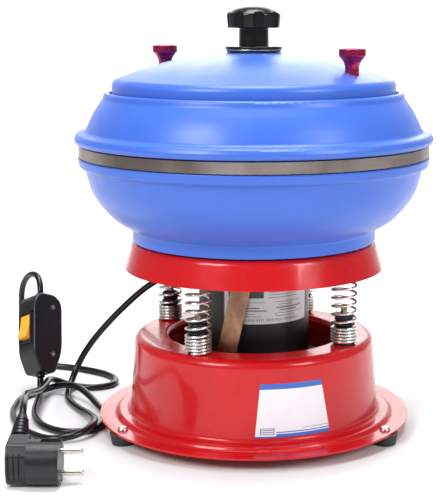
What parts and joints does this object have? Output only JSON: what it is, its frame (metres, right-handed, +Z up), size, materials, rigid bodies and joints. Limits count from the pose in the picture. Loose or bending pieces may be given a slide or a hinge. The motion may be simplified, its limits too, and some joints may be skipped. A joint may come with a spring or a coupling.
{
  "type": "vibratory bowl tumbler",
  "caption": "Vibratory bowl tumbler: sprung bowl and motor on a round drum base, domed screw-down lid, inline switch and mains plug.",
  "frame": {"origin": "on the floor under the centre of the round base (bounding-box bottom centre without the cord set)", "axes": "+Z up through the centre stud, -Y towards the printed front of the base, +X to the right"},
  "size_m": [0.4208, 0.3764, 0.394],
  "materials": {
    "red_enamel": "glossy sprayed enamel",
    "foot_rubber": "matt moulded rubber",
    "zinc_screws": "bright zinc plate",
    "sticker_film": "printed vinyl film, satin",
    "spring_steel": "zinc-plated spring wire",
    "buffer_rubber": "satin moulded rubber",
    "brass_bolts": "yellow zinc plate",
    "strap_zinc": "yellow-passivated zinc plate",
    "motor_black": "satin black paint",
    "motor_steel": "rolled steel",
    "laminations": "dull laminated iron",
    "copper": "varnished copper wire",
    "label_film": "satin silver film",
    "bowl_blue": "satin moulded plastic",
    "seal_rubber": "soft matt rubber",
    "band_steel": "brushed stainless steel",
    "knob_magenta": "anodised, satin",
    "knob_black": "glossy moulded plastic",
    "cord_black": "glossy PVC sheath",
    "switch_black": "satin moulded plastic",
    "rocker_yellow": "glossy moulded plastic",
    "plug_black": "satin moulded plastic",
    "pin_nickel": "nickel plate"
  },
  "bodies": {
    "base": {"base_shell": "red_enamel", "rubber_feet": "foot_rubber", "foot_screws": "zinc_screws", "foot_nuts": "zinc_screws", "base_sticker": "sticker_film", "suspension_springs": "spring_steel", "spring_buffers": "buffer_rubber", "buffer_bolts": "brass_bolts", "supply_cord": "cord_black", "plug_cord": "cord_black", "switch_front": "switch_black", "switch_back": "switch_black", "switch_bezel": "switch_black", "switch_screws": "zinc_screws", "switch_reliefs": "switch_black", "plug_body": "plug_black", "plug_relief": "plug_black", "plug_pins": "pin_nickel", "plug_earth_clips": "pin_nickel"},
    "upper": {"support_dish": "red_enamel", "spring_guides": "motor_steel", "motor_straps": "strap_zinc", "strap_bolts": "strap_zinc", "strap_nuts": "strap_zinc", "motor_bolts": "zinc_screws", "motor_top_bell": "motor_black", "motor_bottom_bell": "motor_black", "motor_housing": "motor_black", "motor_label": "label_film", "motor_stator": "laminations", "motor_windings": "copper", "motor_bearings": "motor_steel", "motor_pad": "seal_rubber", "cord_gland": "cord_black", "bowl": "bowl_blue", "bowl_gasket": "seal_rubber", "bowl_seal": "seal_rubber", "bowl_cover": "bowl_blue", "clamp_band": "band_steel", "clamp_bolt": "zinc_screws", "clamp_nut": "zinc_screws", "centre_stud": "zinc_screws", "stud_nuts": "zinc_screws", "post_washer": "zinc_screws"},
    "rotor": {"rotor_core": "laminations", "motor_shaft": "motor_steel", "eccentric_weight": "motor_steel", "weight_nut": "zinc_screws"},
    "lid": {"lid": "bowl_blue", "lid_seal": "seal_rubber", "lid_knobs": "knob_magenta", "lid_knob_nuts": "zinc_screws"},
    "knob_stack": {"knob_seal": "seal_rubber", "knob_plate": "band_steel", "knob_flange": "knob_black"},
    "knob": {"star_knob": "knob_black", "knob_insert": "zinc_screws"},
    "rocker": {"switch_rocker": "rocker_yellow"}
  },
  "joints": [
    {"name": "suspension_bounce", "type": "slide", "parent": "base", "child": "upper", "axis": [0, 0, 1], "range_m": [-0.004, 0.004], "stiffness_N_per_m": 24000, "springref_m": 0.00333, "deforming": ["suspension_springs", "supply_cord"]},
    {"name": "rotor_spin", "type": "hinge", "parent": "upper", "child": "rotor", "pos_m": [0, 0, 0.1], "axis": [0, 0, 1], "continuous": true},
    {"name": "lid_lift", "type": "slide", "parent": "upper", "child": "lid", "axis": [0, 0, 1], "range_m": [0, 0.12]},
    {"name": "knob_turn", "type": "hinge", "parent": "knob_stack", "child": "knob", "pos_m": [0, 0, 0.37], "axis": [0, 0, 1], "range_deg": [0, 2880]},
    {"name": "washer_slide", "type": "slide", "parent": "lid", "child": "knob_stack", "axis": [0, 0, 1], "range_m": [0, 0.0101]},
    {"name": "rocker_tilt", "type": "hinge", "parent": "base", "child": "rocker", "pos_m": [-0.23087, 0.09566, 0.06707], "axis": [0.7334, -0.5679, 0.3737], "range_deg": [0, 24]}
  ],
  "couplings": [
    {"joint": "washer_slide", "follows": "knob_turn", "m_per_rad": 0.00019894}
  ]
}
